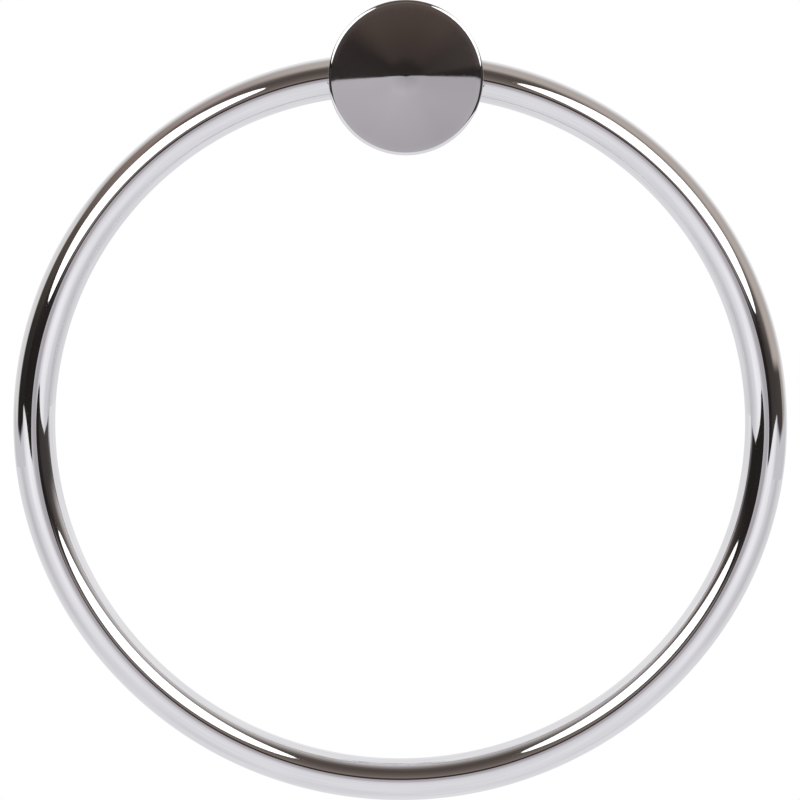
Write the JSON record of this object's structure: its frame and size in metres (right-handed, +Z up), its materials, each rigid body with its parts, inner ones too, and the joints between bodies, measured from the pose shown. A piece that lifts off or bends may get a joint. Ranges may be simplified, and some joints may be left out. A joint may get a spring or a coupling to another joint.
{
  "type": "towel ring",
  "caption": "Wall-mounted towel ring: a polished round-bar hoop held in a short turned post with a shallow coned disc in front.",
  "frame": {"origin": "on the wall plane, at the axis of the post and of its wall screw hole", "axes": "+Y into the wall, the post stands out towards -Y, +Z up, +X along the wall"},
  "size_m": [0.1846, 0.0542, 0.1909],
  "materials": {
    "chrome": "polished chrome plate",
    "bush_brass": "turned, uncoated",
    "screw_steel": "plain stainless"
  },
  "bodies": {
    "root": {"ring": "chrome", "post": "chrome", "ring_set_screws": "screw_steel", "wall_bush": "bush_brass", "grub_screw": "screw_steel"}
  },
  "joints": []
}
